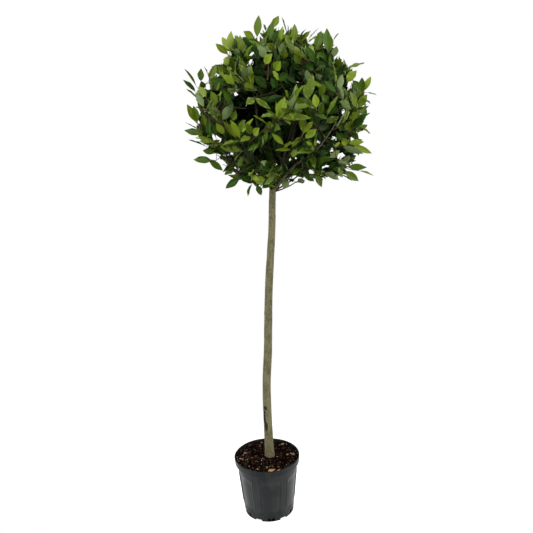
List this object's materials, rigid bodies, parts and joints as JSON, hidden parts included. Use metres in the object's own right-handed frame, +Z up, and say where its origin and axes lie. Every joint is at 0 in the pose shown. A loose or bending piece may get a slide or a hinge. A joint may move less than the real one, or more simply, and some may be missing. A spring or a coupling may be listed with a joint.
{
  "type": "standard bay tree in a pot",
  "caption": "Evergreen bay standard: a round clipped leafy head on a bare slender trunk, growing in a round black plastic nursery pot filled with compost.",
  "frame": {"origin": "middle of the pot's flat underside", "axes": "+Z up the trunk, +X to the right as seen from the front, +Y away from the viewer"},
  "size_m": [0.579, 0.5469, 1.5845],
  "materials": {
    "pot_plastic": "satin moulded dark grey plastic, slightly dusty",
    "compost": "crumbly dark bark and peat compost",
    "bark": "smooth grey-olive bark with small speckles",
    "foliage": "leathery glossy green leaves on thin twigs"
  },
  "bodies": {
    "root": {"pot": "pot_plastic", "compost": "compost", "trunk": "bark", "bough_top": "bark", "bough_upper_right_front": "bark", "bough_upper_right_back": "bark", "bough_upper_left_front": "bark", "bough_upper_left_back": "bark", "bough_lower_right": "bark", "bough_lower_front": "bark", "bough_lower_left_front": "bark", "bough_lower_left_back": "bark", "bough_lower_back": "bark", "bough_skirt_right": "bark", "foliage_top": "foliage", "foliage_upper_right_front": "foliage", "foliage_upper_right_back": "foliage", "foliage_upper_left_front": "foliage", "foliage_upper_left_back": "foliage", "foliage_lower_right": "foliage", "foliage_lower_front": "foliage", "foliage_lower_left_front": "foliage", "foliage_lower_left_back": "foliage", "foliage_lower_back": "foliage", "foliage_skirt_right": "foliage"}
  },
  "joints": []
}
